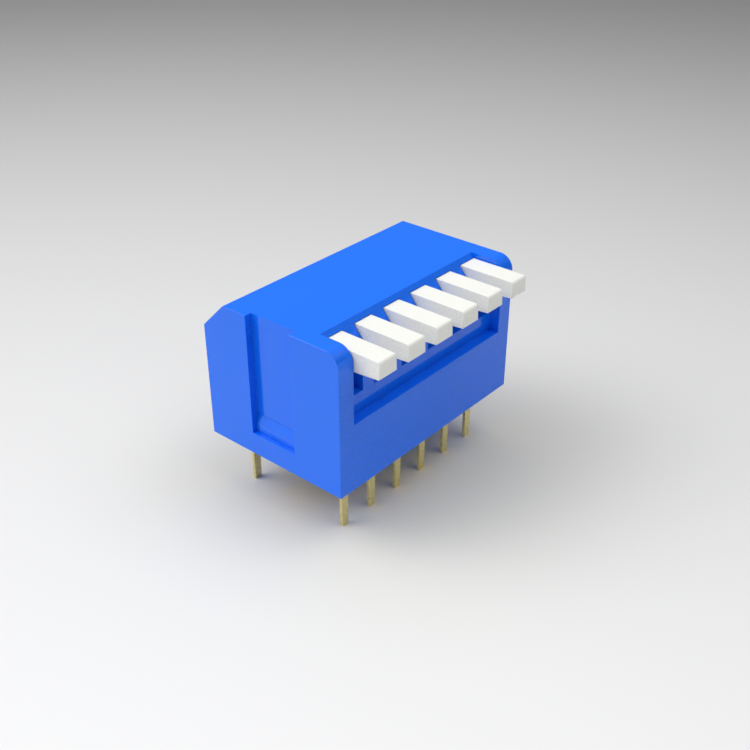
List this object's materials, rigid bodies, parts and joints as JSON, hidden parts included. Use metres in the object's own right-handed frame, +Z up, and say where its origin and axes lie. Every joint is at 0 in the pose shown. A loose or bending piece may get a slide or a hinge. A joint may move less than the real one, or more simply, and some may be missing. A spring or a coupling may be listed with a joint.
{
  "type": "dip switch",
  "caption": "Piano-key dip switch: a deep blue cover with a row of white hinged keys at its front, over a base with two rows of flat terminals.",
  "frame": {"origin": "centre of the terminal pattern, on the face that sits on the board", "axes": "+X along the row of keys, +Y from the keys towards the back, +Z up from the board"},
  "size_m": [0.0166, 0.0126, 0.0134],
  "materials": {
    "blue_plastic": "glossy moulded",
    "white_plastic": "satin moulded",
    "terminal_metal": "plated, satin",
    "spring_metal": "satin"
  },
  "bodies": {
    "housing": {"cover": "blue_plastic", "base": "blue_plastic", "front_terminal_1": "terminal_metal", "front_terminal_2": "terminal_metal", "front_terminal_3": "terminal_metal", "front_terminal_4": "terminal_metal", "front_terminal_5": "terminal_metal", "front_terminal_6": "terminal_metal", "rear_terminal_1": "terminal_metal", "rear_terminal_2": "terminal_metal", "rear_terminal_3": "terminal_metal", "rear_terminal_4": "terminal_metal", "rear_terminal_5": "terminal_metal", "rear_terminal_6": "terminal_metal"},
    "lever_1": {"key_1": "white_plastic", "contact_1": "spring_metal"},
    "lever_2": {"key_2": "white_plastic", "contact_2": "spring_metal"},
    "lever_3": {"key_3": "white_plastic", "contact_3": "spring_metal"},
    "lever_4": {"key_4": "white_plastic", "contact_4": "spring_metal"},
    "lever_5": {"key_5": "white_plastic", "contact_5": "spring_metal"},
    "lever_6": {"key_6": "white_plastic", "contact_6": "spring_metal"}
  },
  "joints": [
    {"name": "key_1_swing", "type": "hinge", "parent": "housing", "child": "lever_1", "pos_m": [-0.00635, 0, 0.0062], "axis": [1, 0, 0], "range_deg": [0, 25]},
    {"name": "key_2_swing", "type": "hinge", "parent": "housing", "child": "lever_2", "pos_m": [-0.00381, 0, 0.0062], "axis": [1, 0, 0], "range_deg": [0, 25]},
    {"name": "key_3_swing", "type": "hinge", "parent": "housing", "child": "lever_3", "pos_m": [-0.00127, 0, 0.0062], "axis": [1, 0, 0], "range_deg": [0, 25]},
    {"name": "key_4_swing", "type": "hinge", "parent": "housing", "child": "lever_4", "pos_m": [0.00127, 0, 0.0062], "axis": [1, 0, 0], "range_deg": [0, 25]},
    {"name": "key_5_swing", "type": "hinge", "parent": "housing", "child": "lever_5", "pos_m": [0.00381, 0, 0.0062], "axis": [1, 0, 0], "range_deg": [0, 25]},
    {"name": "key_6_swing", "type": "hinge", "parent": "housing", "child": "lever_6", "pos_m": [0.00635, 0, 0.0062], "axis": [1, 0, 0], "range_deg": [0, 25]}
  ]
}
